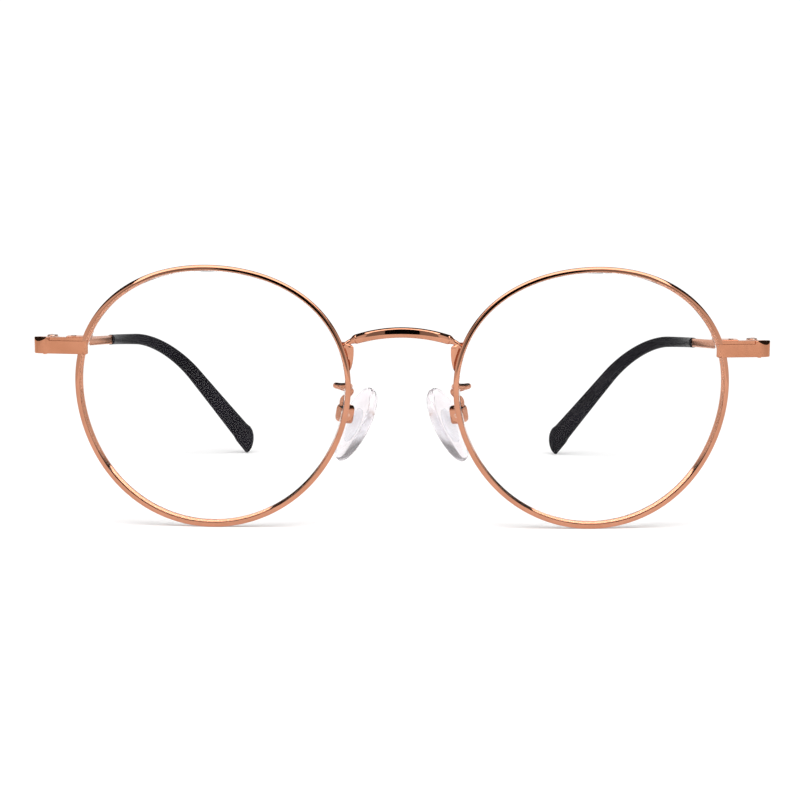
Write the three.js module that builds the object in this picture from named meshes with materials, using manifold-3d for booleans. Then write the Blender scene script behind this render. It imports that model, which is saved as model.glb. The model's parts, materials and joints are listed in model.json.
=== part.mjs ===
// Round metal eyeglasses: two grooved rims with lenses, joined by an arched bridge. Each end piece
// carries a three-knuckle hinge and a folding temple with a plastic tip, and each nose pad rocks
// on its own small screw.
//
// Everything is drawn in the front's own frame: x across the face, y backwards, z up, with z = 0 on
// the lens centre line. At the end the front is leaned until rims and tips stand level on z = 0.
// "left" is the wearer's left, +x. It is drawn once, and the right side mirrors it.

import * as THREE from 'three';
import { mergeVertices } from 'three/addons/utils/BufferGeometryUtils.js';
import Module from 'manifold-3d';

const wasm = await Module();
wasm.setup();

// ---------------------------------------------------------------- driving dimensions, mm and degrees

const lensWidth = 51.8; // boxed width of one lens, at the bottom of the rim's groove
const lensHeight = 49.3; // boxed height of one lens
const bridgeWidth = 20.7; // shortest distance between the two lenses
const frameWidth = 141; // outside of one end piece to outside of the other
const templeLength = 145; // hinge to the end of the tip, along the arm

const solderGap = 0.05; // joint line between two soldered or moulded pieces
const runningGap = 0.12; // between two pieces that move on each other

const outline = [
  { lobes: 2, amount: 0.0188, towards: 83.4 },
  { lobes: 3, amount: 0.0234, towards: 34.5 },
  { lobes: 4, amount: 0.0048, towards: 45 },
];
const lens = { thickness: 2, curveRadius: 120, faceForm: 4, bevelHeight: 0.4, bevelWidth: 0.8 };
const rim = { wall: 0.6, depth: 1.9, lip: 0.4, edge: 0.28, grooveGap: 0.1, slit: 0.3 };
const endPiece = {
  height: 3.15, thickness: 1.5, aboveCentre: 9.4, sweepBack: 7, cornerRadius: 2.2, overRim: 1,
};
const endPieceFacet = { drop: 0.65, cut: 0.3, startsBeforeCorner: 0.6 };
const closingBlock = { width: 3, depth: 2.3, upper: 2.1, lower: 1.7, splitBelowCentre: 0.5 };
const closingScrew = { radius: 0.5, headRadius: 0.95, headHeight: 0.5, slot: 0.26 };
const hinge = { behindLens: 8.2, knuckleRadius: 1.2, height: 3, leaf: 0.65 };
const leafLength = { front: 3.4, temple: 4.6 };
const hingeScrew = { radius: 0.58, headRadius: 1.05, headHeight: 0.55, tail: 0.25, slot: 0.28 };
const arm = { height: 1.95, thickness: 1.1, shoulder: 15, inwards: 2.2, pantoscopic: 6.3 };
const headBow = { from: 78, to: 116, inwards: 48.5 }; // where the arm curves in behind the head
const earBend = { from: 94, to: 118, down: 42 }; // where it bends down behind the ear
const tip = { length: 69.5, roundEnd: 2.6 };
const tipStartSize = { height: 2.3, thickness: 2 };
const tipEndSize = { height: 5.2, thickness: 2.7 };
const core = { height: 1.2, thickness: 0.8, short: 6 };
const bridge = { height: 1.85, depth: 1.6, neck: 0.9, halfSpan: 8.6, bow: 1.5 };
const bridgeAboveCentre = { middle: 12.8, ends: 11.4, rims: 10 };
const bridgeFoot = { top: 10, bottom: 5.4, topWidth: 2.7, thickness: 1.5 };
const pad = { length: 15, width: 8.4, thickness: 2.4, flatShare: 0.62, frontal: 27, below: 1.3, rock: 10 };
const padInsert = { length: 7, width: 3.6, thickness: 0.6, neck: 1.1 };
const padBox = { height: 3.6, width: 3, depth: 2.7, wall: 0.45, splay: 30, frontal: 9 };
const padBoxFromLensLine = { across: 11.2, behind: 7.4, below: 4.3 };
const padScrew = { radius: 0.42, headRadius: 0.75, headHeight: 0.35, slot: 0.2 };
const padWire = { radius: 0.55, loopReach: 2.5, rimHeight: 2.1 };

const roundSides = 18; // facets of a screw or knuckle
const rimSteps = 60; // facets round a rim
const colours = {
  roseGold: { color: '#d98c66', metalness: 1, roughness: 0.16 },
  screwSteel: { color: '#c9a48c', metalness: 1, roughness: 0.3 },
  blackTip: { color: '#121115', metalness: 0, roughness: 0.28 },
  silicone: { color: '#e9e6ec', metalness: 0, roughness: 0.2, transparent: true, opacity: 0.45 },
  clearPlastic: { color: '#dfe3ea', metalness: 0, roughness: 0.15, transparent: true, opacity: 0.6 },
  lens: { color: '#f4f8fb', metalness: 0, roughness: 0.02, transparent: true, opacity: 0.15 },
};

// ---------------------------------------------------------------- helpers for solids

const degrees = THREE.MathUtils.degToRad;
const vector = (x, y, z) => new THREE.Vector3(x, y, z);
const upwards = vector(0, 0, 1);
const roundedBar = chamferedSection(0.3);
const ovalBar = ovalSection(12);

// Corners of a rectangle from -1 to 1 each way, with its corners cut off by a share of the half side.
function chamferedSection(share) {
  const near = 1 - share;
  return [[1, -near], [1, near], [near, 1], [-near, 1], [-1, near], [-1, -near], [-near, -1], [near, -1]];
}

// An ellipse from -1 to 1 each way.
function ovalSection(count) {
  return Array.from({ length: count }, (_, i) => {
    const turn = ((i + 0.5) / count) * 2 * Math.PI;
    return [Math.cos(turn), Math.sin(turn)];
  });
}

// A closed surface through rings of points that correspond. A looped skin joins its last ring to its
// first; any other is closed at each end by a fan.
function skin(rings, looped = false) {
  const count = rings[0].length;
  const points = rings.flat();
  const faces = [];
  const spans = looped ? rings.length : rings.length - 1;
  for (let r = 0; r < spans; r++) {
    const here = r * count;
    const next = ((r + 1) % rings.length) * count;
    for (let i = 0; i < count; i++) {
      const j = (i + 1) % count;
      faces.push(here + i, here + j, next + j, here + i, next + j, next + i);
    }
  }
  if (!looped) {
    const fan = (ring, start, turned) => {
      const centre = ring.reduce((sum, p) => sum.add(p), vector(0, 0, 0)).divideScalar(count);
      const middle = points.push(centre) - 1;
      for (let i = 0; i < count; i++) {
        const pair = [start + i, start + ((i + 1) % count)];
        faces.push(middle, ...(turned ? pair.reverse() : pair));
      }
    };
    fan(rings[0], 0, true);
    fan(rings.at(-1), (rings.length - 1) * count, false);
  }
  const geometry = new THREE.BufferGeometry().setFromPoints(points);
  geometry.setIndex(faces);
  return facingOut(geometry);
}

// The same geometry with its faces turned round if they point inwards.
function facingOut(geometry) {
  const index = geometry.index.array;
  const position = geometry.attributes.position;
  const corner = (i) => vector().fromBufferAttribute(position, index[i]);
  let volume = 0;
  for (let i = 0; i < index.length; i += 3) volume += corner(i).dot(corner(i + 1).cross(corner(i + 2)));
  if (volume < 0) index.reverse();
  return geometry;
}

// A geometry as a manifold-3d solid.
function solid(geometry) {
  const bare = geometry.clone();
  bare.deleteAttribute('normal');
  bare.deleteAttribute('uv');
  const merged = mergeVertices(bare, 1e-5);
  return new wasm.Manifold(new wasm.Mesh({
    numProp: 3,
    vertProperties: new Float32Array(merged.attributes.position.array),
    triVerts: new Uint32Array(merged.index.array),
  }));
}

function geometryOf(body) {
  const mesh = body.getMesh();
  return new THREE.BufferGeometry()
    .setAttribute('position', new THREE.BufferAttribute(mesh.vertProperties, 3))
    .setIndex(new THREE.BufferAttribute(mesh.triVerts, 1));
}

// A round bar from one point to another.
function roundBar(from, to, radius, sides = roundSides) {
  const length = from.distanceTo(to);
  const geometry = new THREE.CylinderGeometry(radius, radius, length, sides);
  const along = to.clone().sub(from).normalize();
  geometry.applyQuaternion(new THREE.Quaternion().setFromUnitVectors(vector(0, 1, 0), along));
  geometry.translate(...from.clone().add(to).divideScalar(2).toArray());
  return solid(geometry);
}

// A box between two corners.
function block(low, high) {
  const size = high.clone().sub(low);
  const geometry = new THREE.BoxGeometry(size.x, size.y, size.z);
  geometry.translate(...low.clone().add(high).divideScalar(2).toArray());
  return solid(geometry);
}

// A straight line, a round bend and a second straight line: stations of { at, along, travelled }.
function bentLine(start, corner, end, radius, bendSteps) {
  const first = corner.clone().sub(start).normalize();
  const second = end.clone().sub(corner).normalize();
  const bend = first.angleTo(second);
  const setback = radius * Math.tan(bend / 2);
  const across = second.clone().addScaledVector(first, -second.dot(first)).normalize();
  const arcStart = corner.clone().addScaledVector(first, -setback);
  const lead = start.distanceTo(arcStart);
  const stations = [{ at: start.clone(), along: first, travelled: 0 }];
  for (let i = 0; i <= bendSteps; i++) {
    const turn = (bend * i) / bendSteps;
    stations.push({
      at: arcStart.clone()
        .addScaledVector(first, radius * Math.sin(turn))
        .addScaledVector(across, radius * (1 - Math.cos(turn))),
      along: first.clone().multiplyScalar(Math.cos(turn)).addScaledVector(across, Math.sin(turn)),
      travelled: lead + radius * turn,
    });
  }
  const total = lead + radius * bend + corner.distanceTo(end) - setback;
  stations.push({ at: end.clone(), along: second, travelled: total });
  return stations;
}

// The station a distance along a bent line, between its own stations.
function stationAt(stations, distance) {
  const after = Math.max(1, stations.findIndex((s) => s.travelled >= distance));
  const [a, b] = [stations[after - 1], stations[after]];
  const share = (distance - a.travelled) / (b.travelled - a.travelled);
  const along = a.along.clone().lerp(b.along, share).normalize();
  return { at: a.at.clone().lerp(b.at, share), along, travelled: distance };
}

// A section's ring at a station: its first number runs sideways, level, and its second upwards.
function ringAt(station, section, width, height, lift = 0) {
  const sideways = station.along.clone().cross(upwards).normalize();
  const up = sideways.clone().cross(station.along);
  return section.map(([across, high]) => station.at.clone()
    .addScaledVector(sideways, (across * width) / 2)
    .addScaledVector(up, (high * height) / 2 + lift));
}

// ---------------------------------------------------------------- the lens outline and its curved surface

function rawOutline(angle) {
  const radius = outline.reduce((sum, { lobes, amount, towards }) => (
    sum + amount * Math.cos(lobes * (angle - degrees(towards)))
  ), 1);
  return new THREE.Vector2(radius * Math.cos(angle), radius * Math.sin(angle));
}
const rawBox = new THREE.Box2().setFromPoints(
  Array.from({ length: 720 }, (_, i) => rawOutline((i / 720) * 2 * Math.PI)),
);
const rawCentre = rawBox.getCenter(new THREE.Vector2());
const outlineScale = new THREE.Vector2(lensWidth, lensHeight).divide(rawBox.getSize(new THREE.Vector2()));

// A point of the outline, boxed to the lens size, moved outwards square to the outline. Angle 0 points
// to the temple and a quarter turn points up.
function outlineAt(angle, outwards = 0) {
  const place = (a) => rawOutline(a).sub(rawCentre).multiply(outlineScale);
  const along = place(angle + 1e-4).sub(place(angle - 1e-4)).normalize();
  return place(angle).add(new THREE.Vector2(along.y, -along.x).multiplyScalar(outwards));
}

// The outline's angle at a height, on its outer (temple) or inner (nose) side.
function angleAtHeight(height, side) {
  let [low, high] = side === 'outer' ? [-Math.PI / 2, Math.PI / 2] : [1.5 * Math.PI, Math.PI / 2];
  for (let i = 0; i < 50; i++) {
    const middle = (low + high) / 2;
    if (outlineAt(middle).y < height) low = middle;
    else high = middle;
  }
  return (low + high) / 2;
}

const rimSag = lens.curveRadius - Math.sqrt(lens.curveRadius ** 2 - (lensWidth / 2) ** 2);
const lensPlace = new THREE.Matrix4().makeRotationZ(degrees(lens.faceForm))
  .setPosition((lensWidth + bridgeWidth) / 2, -rimSag - lens.thickness / 2, 0);

// A point on the lens's front curve, moved back square to it by a depth.
function onLens(flat, depth) {
  const drop = lens.curveRadius - Math.sqrt(lens.curveRadius ** 2 - flat.lengthSq());
  const forwards = vector(flat.x, drop - lens.curveRadius, flat.y).divideScalar(lens.curveRadius);
  return vector(flat.x, drop, flat.y).addScaledVector(forwards, -depth).applyMatrix4(lensPlace);
}

// Rings of the outline: each entry of the profile is [how far outside the outline, depth].
function outlineRings(profile, steps = rimSteps) {
  return profile.map(([outwards, depth]) => Array.from({ length: steps }, (_, i) => (
    onLens(outlineAt((i / steps) * 2 * Math.PI, outwards), depth)
  )));
}

// The same for a shrunken outline, for the faces of the lens.
function shrunkenRing(share, outwards, depth) {
  return Array.from({ length: rimSteps }, (_, i) => (
    onLens(outlineAt((i / rimSteps) * 2 * Math.PI, outwards).multiplyScalar(share), depth)
  ));
}

// ---------------------------------------------------------------- rims and lenses

const midDepth = lens.thickness / 2;
const rimFront = midDepth - rim.depth / 2;
const rimBack = midDepth + rim.depth / 2;
const splitHeight = endPiece.aboveCentre - closingBlock.splitBelowCentre;

function makeRim() {
  const groove = lens.bevelWidth / 2 + rim.grooveGap;
  const profile = [
    [-rim.lip, rimFront + rim.edge / 2], [rim.wall - rim.edge, rimFront], [rim.wall, rimFront + rim.edge],
    [rim.wall, rimBack - rim.edge], [rim.wall - rim.edge, rimBack], [-rim.lip, rimBack - rim.edge / 2],
    [-rim.lip, midDepth + groove], [0, midDepth + rim.grooveGap], [0, midDepth - rim.grooveGap],
    [-rim.lip, midDepth - groove],
  ];
  const ring = solid(skin(outlineRings(profile), true));
  const outside = onLens(outlineAt(angleAtHeight(splitHeight, 'outer')), midDepth);
  const reach = vector(rim.depth * 2, rim.depth * 2, rim.slit / 2);
  const middle = vector(outside.x, outside.y, splitHeight);
  return ring.subtract(block(middle.clone().sub(reach), middle.clone().add(reach)));
}

// What a piece soldered to the rim is cut with, so that it hugs the rim's outside.
function rimAndLensSpace(gap) {
  const [front, back, out] = [rimFront - gap, rimBack + gap, rim.wall + gap];
  const profile = [
    [out - rim.edge, front], [out, front + rim.edge], [out, back - rim.edge], [out - rim.edge, back],
  ];
  return solid(skin([
    shrunkenRing(0.4, 0, front), ...outlineRings(profile), shrunkenRing(0.4, 0, back),
  ]));
}

function makeLens() {
  const edge = -lens.bevelHeight - rim.grooveGap;
  const bevel = lens.bevelWidth / 2;
  const profile = [
    [edge, 0.15], [edge, midDepth - bevel], [-rim.grooveGap, midDepth],
    [edge, midDepth + bevel], [edge, lens.thickness - 0.15],
  ];
  return solid(skin([
    shrunkenRing(0.15, 0, 0), shrunkenRing(0.45, 0, 0), shrunkenRing(0.75, 0, 0),
    shrunkenRing(1, edge - 0.15, 0),
    ...outlineRings(profile),
    shrunkenRing(1, edge - 0.15, lens.thickness), shrunkenRing(0.75, 0, lens.thickness),
    shrunkenRing(0.45, 0, lens.thickness), shrunkenRing(0.15, 0, lens.thickness),
  ]));
}

// ---------------------------------------------------------------- bridge and its feet

const rimSpace = rimAndLensSpace(solderGap);
const mirroredRimSpace = rimSpace.mirror([1, 0, 0]);
const noseSide = onLens(outlineAt(angleAtHeight(bridgeAboveCentre.rims, 'inner'), rim.wall), midDepth);

// The bridge's line: an arch between two short necks that run down to the rims.
function bridgeStations() {
  const intoRim = vector(noseSide.x + rim.wall, noseSide.y, bridgeAboveCentre.rims - bridge.neck / 2);
  const { middle: archTop, ends: archEnds, rims: atRims } = bridgeAboveCentre;
  const elbow = vector(bridge.halfSpan + 1.1, noseSide.y, (archEnds + atRims) / 2 + 0.2);
  const arch = (x) => {
    const share = 1 - (x / bridge.halfSpan) ** 2;
    return vector(x, noseSide.y - bridge.bow * share, archEnds + (archTop - archEnds) * share);
  };
  const half = [intoRim, elbow, arch(bridge.halfSpan)];
  const middle = Array.from({ length: 11 }, (_, i) => arch(bridge.halfSpan * (0.9 - 0.18 * i)));
  const flip = (p) => vector(-p.x, p.y, p.z);
  const points = [...half, ...middle, ...half.map(flip).reverse()];
  return points.map((at, i) => {
    const [before, after] = [points[Math.max(0, i - 1)], points[Math.min(points.length - 1, i + 1)]];
    return { at, along: after.clone().sub(before).normalize() };
  });
}

function bridgeSolid(grown) {
  const last = bridgeStations().length - 1;
  return solid(skin(bridgeStations().map((station, i) => {
    const onNeck = i < 2 || i > last - 2;
    const fullness = 1 - 0.14 * (station.at.x / bridge.halfSpan) ** 2;
    const height = onNeck ? bridge.neck : bridge.height * fullness;
    const depth = onNeck ? bridge.neck : bridge.depth * fullness;
    return ringAt(station, ovalBar, depth + 2 * grown, height + 2 * grown);
  })));
}

const makeBridge = () => bridgeSolid(0).subtract(rimSpace).subtract(mirroredRimSpace);

// A tapered leg that runs down the rim from under each end of the bridge.
function makeBridgeFoot() {
  const rimAt = (height) => onLens(outlineAt(angleAtHeight(height, 'inner'), rim.wall), midDepth);
  const [top, bottom] = [rimAt(bridgeFoot.top), rimAt(bridgeFoot.bottom)];
  const leg = new THREE.Shape([
    new THREE.Vector2(top.x + rim.wall, bridgeFoot.top),
    new THREE.Vector2(top.x - bridgeFoot.topWidth, bridgeFoot.top),
    new THREE.Vector2(bottom.x - 0.1, bridgeFoot.bottom),
    new THREE.Vector2(bottom.x + rim.wall, bridgeFoot.bottom),
  ]);
  const geometry = new THREE.ExtrudeGeometry(leg, { depth: bridgeFoot.thickness, bevelEnabled: false });
  geometry.rotateX(Math.PI / 2);
  geometry.translate(0, noseSide.y + bridgeFoot.thickness / 2 + 0.15, 0);
  return solid(geometry).subtract(rimSpace).subtract(bridgeSolid(solderGap));
}

// ---------------------------------------------------------------- end piece and the rim's closing block

const templeSide = onLens(outlineAt(angleAtHeight(endPiece.aboveCentre, 'outer'), rim.wall), midDepth);
const buttPlane = hinge.behindLens;
const legCentre = frameWidth / 2 - endPiece.thickness / 2;
const legInside = legCentre - endPiece.thickness / 2;
const frontLine = templeSide.y + rim.edge - rim.depth / 2 + endPiece.thickness / 2 - 0.35;

// The leg runs back at the temple's own slope, past the plane where the temple butts on it.
const legDirection = vector(0, Math.cos(degrees(arm.pantoscopic)), -Math.sin(degrees(arm.pantoscopic)));
const legLength = (corner) => (buttPlane - corner.y) / legDirection.y;

function endPieceLine() {
  const start = vector(templeSide.x - endPiece.overRim, frontLine, endPiece.aboveCentre);
  const back = (legCentre - start.x) * Math.tan(degrees(endPiece.sweepBack));
  const corner = vector(legCentre, frontLine + back, endPiece.aboveCentre);
  const end = corner.clone().addScaledVector(legDirection, legLength(corner));
  return bentLine(start, corner, end, endPiece.cornerRadius, 8);
}

function endPieceBar(grown) {
  return solid(skin(endPieceLine().map((station) => (
    ringAt(station, chamferedSection(0.22), endPiece.thickness + 2 * grown, endPiece.height + 2 * grown)
  ))));
}

function makeEndPiece() {
  const line = endPieceLine();
  // The long facet along the top front edge, from the rim to just before the corner.
  const [start, corner] = [line[0], line[1]];
  const facetEnd = corner.at.clone().addScaledVector(corner.along, -endPieceFacet.startsBeforeCorner);
  const outwards = corner.along.clone().cross(upwards).normalize();
  const top = endPiece.height / 2;
  const cutSection = [
    [0, top - endPieceFacet.drop], [1, top - endPieceFacet.drop], [1, top + 1],
    [-endPieceFacet.cut, top + 1], [-endPieceFacet.cut, top],
  ];
  const cutRing = (at) => cutSection.map(([out, up]) => at.clone()
    .addScaledVector(outwards, endPiece.thickness / 2 + out)
    .addScaledVector(upwards, up));
  const facet = solid(skin([cutRing(start.at), cutRing(facetEnd)]));
  const pastButt = block(
    vector(legInside - 5, buttPlane - runningGap / 2, -20), vector(legCentre + 5, buttPlane + 5, 20),
  );
  return endPieceBar(0).subtract(facet).subtract(rimSpace).subtract(pastButt);
}

// The closing block stands behind the end piece: two halves that one screw draws together.
const blockLow = vector(templeSide.x - endPiece.overRim, frontLine + endPiece.thickness / 2, 0);
const blockScrewAt = vector(
  templeSide.x + closingBlock.width / 2 + 0.1, blockLow.y + closingBlock.depth / 2, 0,
);
const blockTop = splitHeight + rim.slit / 2 + closingBlock.upper;
const blockBottom = splitHeight - rim.slit / 2 - closingBlock.lower;

const atBlockScrew = (height) => vector(blockScrewAt.x, blockScrewAt.y, height);

function makeClosingHalf(bottom, top) {
  const half = block(
    vector(blockLow.x, blockLow.y, bottom),
    vector(templeSide.x + closingBlock.width, blockLow.y + closingBlock.depth, top),
  );
  const bore = roundBar(atBlockScrew(bottom - 1), atBlockScrew(top + 1), closingScrew.radius + solderGap);
  const headSeat = atBlockScrew(blockBottom + closingScrew.headHeight / 2);
  const counterbore = roundBar(atBlockScrew(blockBottom - 1), headSeat, closingScrew.headRadius + solderGap);
  return half.subtract(bore).subtract(counterbore).subtract(rimSpace).subtract(endPieceBar(solderGap));
}

// A screw with a slotted head, from the top of its head to its tail.
function slottedScrew(headEnd, tail, screw) {
  const along = headEnd.clone().sub(tail).normalize();
  const across = vector(along.y, along.z, along.x);
  const headBase = headEnd.clone().addScaledVector(along, -screw.headHeight);
  const slot = new THREE.BoxGeometry(4 * screw.headRadius, screw.slot, screw.headHeight);
  const turn = new THREE.Matrix4().makeBasis(across, along.clone().cross(across), along);
  slot.applyMatrix4(turn.setPosition(headEnd));
  return roundBar(headBase, headEnd, screw.headRadius)
    .add(roundBar(tail, headBase.addScaledVector(along, solderGap), screw.radius))
    .subtract(solid(slot));
}

function makeClosingScrew() {
  const headEnd = atBlockScrew(blockBottom - solderGap - closingScrew.headHeight / 2);
  return slottedScrew(headEnd, atBlockScrew(blockTop - 0.1), closingScrew);
}

// ---------------------------------------------------------------- hinge

// The hinge's own frame: y = 0 at the butt plane and z = 0 at the middle of the leg there. Its screw
// stands along the front's height, so the temples fold down across each other.
const buttPoint = endPieceLine().at(-1).at;
const atButt = (body) => body.translate([0, buttPoint.y, buttPoint.z]);
const hingeX = legInside - runningGap - solderGap - hinge.knuckleRadius;
const hingeTop = hinge.height / 2;
const hingeBottom = -hinge.height / 2;
const knuckleHeight = (hinge.height - 2 * runningGap) / 3;
const clearOfKnuckles = hinge.knuckleRadius + runningGap;
const leafOutside = legInside - solderGap;

const atHinge = (height) => vector(hingeX, 0, height);
const hingeBore = () => (
  roundBar(atHinge(hingeBottom - 5), atHinge(hingeTop + 5), hingeScrew.radius + runningGap / 2)
);

// A leaf: its plate, full height beyond the knuckles, and one knuckle with its own tab for each level.
function makeLeaf(direction, length, levels) {
  const plate = (from, to, bottom, top) => block(
    vector(leafOutside - hinge.leaf, Math.min(from, to), bottom),
    vector(leafOutside, Math.max(from, to), top),
  );
  const farEnd = direction * length;
  let leaf = plate(direction * (clearOfKnuckles + hinge.leaf / 2), farEnd, hingeBottom, hingeTop);
  for (const [bottom, top] of levels) {
    leaf = leaf.add(roundBar(atHinge(bottom), atHinge(top), hinge.knuckleRadius))
      .add(plate(0, farEnd, bottom, top));
  }
  return atButt(leaf.subtract(hingeBore()));
}

const makeFrontLeaf = () => makeLeaf(-1, leafLength.front, [
  [hingeBottom, hingeBottom + knuckleHeight], [hingeTop - knuckleHeight, hingeTop],
]).subtract(endPieceBar(solderGap));

const makeTempleLeaf = () => makeLeaf(1, leafLength.temple, [
  [hingeBottom + knuckleHeight + runningGap, hingeTop - knuckleHeight - runningGap],
]).subtract(armSolid(solderGap));

function makeHingeScrew() {
  const headEnd = atHinge(hingeTop + solderGap + hingeScrew.headHeight);
  return atButt(slottedScrew(headEnd, atHinge(hingeBottom - hingeScrew.tail), hingeScrew));
}

// ---------------------------------------------------------------- temple and tip

const templeLine = makeTempleLine();
const tipStart = templeLength - tip.length;

// The arm's centre line from the hinge, as stations a short step apart: its heading turns inwards
// and downwards evenly along each of its two bends.
function makeTempleLine() {
  const steps = 145;
  const stride = templeLength / steps;
  const share = (distance, { from, to }) => THREE.MathUtils.clamp((distance - from) / (to - from), 0, 1);
  const heading = (distance) => {
    const inwards = degrees(arm.inwards + headBow.inwards * share(distance, headBow));
    const down = degrees(arm.pantoscopic + earBend.down * share(distance, earBend));
    return vector(-Math.sin(inwards) * Math.cos(down), Math.cos(inwards) * Math.cos(down), -Math.sin(down));
  };
  const at = buttPoint.clone();
  return Array.from({ length: steps + 1 }, (_, i) => {
    const station = { at: at.clone(), along: heading(i * stride), travelled: i * stride };
    at.addScaledVector(heading((i + 0.5) * stride), stride);
    return station;
  });
}

// Distances along the arm at which its sections stand, closer together round the bends.
function sectionsBetween(from, to) {
  const [straight, bent] = [12, 4];
  const onBend = (d) => d + straight >= headBow.from && d <= headBow.to;
  const distances = [];
  for (let d = from; d < to - bent / 2; d += onBend(d) ? bent : straight) {
    distances.push(d);
  }
  return [...distances, to];
}

// The arm: a shouldered bar from the hinge to the tip, then the thin core that the tip slides over.
function armSolid(grown) {
  const shoulderShare = (distance) => THREE.MathUtils.smoothstep(distance, 2, arm.shoulder);
  const bar = (distance) => {
    const share = shoulderShare(distance);
    const height = THREE.MathUtils.lerp(endPiece.height - 0.1, arm.height, share);
    const thickness = THREE.MathUtils.lerp(endPiece.thickness, arm.thickness, share);
    const station = stationAt(templeLine, Math.max(0, distance));
    station.at.addScaledVector(station.along, Math.min(0, distance));
    return ringAt(station, roundedBar, thickness + 2 * grown, height + 2 * grown);
  };
  const coreEnd = templeLength - core.short + grown;
  const coreRing = (distance) => ringAt(
    stationAt(templeLine, distance), roundedBar, core.thickness + 2 * grown, core.height + 2 * grown,
  );
  const barSections = [-2, 2, 4.5, 7, 9.5, 12, arm.shoulder, tipStart];
  const alongCore = sectionsBetween(tipStart, templeLength - core.short).slice(1, -1);
  const coreSections = [tipStart + 0.01, ...alongCore, coreEnd];
  return solid(skin([...barSections.map(bar), ...coreSections.map(coreRing)]));
}

function makeTemple() {
  const frontOfButt = block(
    vector(legInside - 5, buttPlane - 5, -20), vector(legCentre + 5, buttPlane + runningGap / 2, 20),
  );
  return armSolid(0).subtract(frontOfButt);
}

// The tip's outside: it deepens towards its end, which is rounded off along its upper edge.
function tipHeight(distance) {
  const share = (distance - tipStart) / tip.length;
  return tipStartSize.height + (tipEndSize.height - tipStartSize.height) * share ** 2;
}

function makeTip() {
  const roundFrom = templeLength - tip.roundEnd;
  const distances = [tipStart, tipStart + 0.6, ...sectionsBetween(tipStart, roundFrom).slice(1)];
  const rings = distances.map((distance) => {
    const share = (distance - tipStart) / tip.length;
    const mouth = distance === tipStart ? 0.9 : 1;
    const thickness = THREE.MathUtils.lerp(tipStartSize.thickness, tipEndSize.thickness, share);
    return ringAt(stationAt(templeLine, distance), ovalBar, thickness * mouth, tipHeight(distance) * mouth);
  });
  for (const turn of [22, 44, 64, 80]) {
    const distance = roundFrom + tip.roundEnd * Math.sin(degrees(turn));
    const shrink = Math.cos(degrees(turn));
    const height = tipHeight(roundFrom);
    const lowered = (height * (1 - shrink)) / 3;
    const station = stationAt(templeLine, distance);
    rings.push(ringAt(station, ovalBar, tipEndSize.thickness * shrink, height * shrink, -lowered));
  }
  const start = stationAt(templeLine, tipStart);
  const mouthSpace = solid(skin([-1, solderGap].map((offset) => {
    const station = { at: start.at.clone().addScaledVector(start.along, offset), along: start.along };
    return ringAt(station, roundedBar, tipStartSize.thickness * 2, tipStartSize.height * 2);
  })));
  return solid(skin(rings)).subtract(armSolid(solderGap)).subtract(mouthSpace);
}

// ---------------------------------------------------------------- nose pad, its box, screw and wire

// The box's own frame: -x faces the nose, y runs backwards along its screw, z up. The pad rocks about
// that screw, and its own frame is the box's, turned to where the pad rests.
const boxPlace = new THREE.Matrix4()
  .makeRotationFromEuler(new THREE.Euler(0, -degrees(padBox.frontal), -degrees(padBox.splay), 'YZX'))
  .setPosition(padBoxFromLensLine.across, padBoxFromLensLine.behind, -padBoxFromLensLine.below);
const padTurn = new THREE.Matrix4().makeRotationY(-degrees(pad.frontal - padBox.frontal));
const padPlace = boxPlace.clone().multiply(padTurn);
const onBox = (body) => body.transform(boxPlace.elements);
const onPad = (body) => body.transform(padPlace.elements);
const steepestTilt = degrees(pad.frontal - padBox.frontal + pad.rock);
const padRockSwing = (padBox.height / 2) * Math.sin(steepestTilt);
const boxMouth = -padBox.depth / 2;
const eyeRadius = padBox.depth / 2 - padBox.wall - runningGap;
// The insert's neck clears the edge of the box's mouth when the pad rocks fully.
const mouthReach = (padBox.height / 2 - padBox.wall) * Math.cos(steepestTilt);
const neckReach = mouthReach + boxMouth * Math.sin(steepestTilt) - runningGap;
const padBack = boxMouth - runningGap - padRockSwing;
const padMiddle = -pad.below;

// An oval ring in the pad's own frame, a share of the pad's size, at a distance towards the nose.
function padRing(share, towardsNose, wide = pad.width, long = pad.length, steps = 28) {
  return Array.from({ length: steps }, (_, i) => {
    const turn = (i / steps) * 2 * Math.PI;
    const narrowing = 1 + 0.1 * Math.sin(turn);
    const across = (share * wide * Math.cos(turn) * narrowing) / 2;
    const lengthwise = padMiddle + (share * long * Math.sin(turn)) / 2;
    return vector(padBack - towardsNose, across, lengthwise);
  });
}

function padInsertSolid(grown) {
  const [wide, long] = [padInsert.width + 2 * grown, padInsert.length + 2 * grown];
  const front = (pad.thickness - padInsert.thickness) / 2;
  const plate = solid(skin([
    padRing(1, front - grown, wide, long, 20),
    padRing(1, front + padInsert.thickness + grown, wide, long, 20),
  ]));
  const neck = block(
    vector(padBack - front - padInsert.thickness / 2, -padInsert.neck / 2 - grown, -neckReach - grown),
    vector(0, padInsert.neck / 2 + grown, neckReach + grown),
  );
  const eyeEnd = vector(0, padInsert.neck / 2 + grown, 0);
  const eye = roundBar(eyeEnd.clone().negate(), eyeEnd, eyeRadius + grown);
  return plate.add(neck).add(eye);
}

function makePadInsert() {
  const bore = roundBar(vector(0, -5, 0), vector(0, 5, 0), padScrew.radius + runningGap / 2, 16);
  return onPad(padInsertSolid(0).subtract(bore));
}

function makePad() {
  const profile = [[0.72, 0], [0.94, 0.35], [1, 1], [0.93, 1.7], [pad.flatShare, pad.thickness]];
  const body = solid(skin(profile.map(([share, towardsNose]) => padRing(share, towardsNose))));
  return onPad(body.subtract(padInsertSolid(solderGap)));
}

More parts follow.
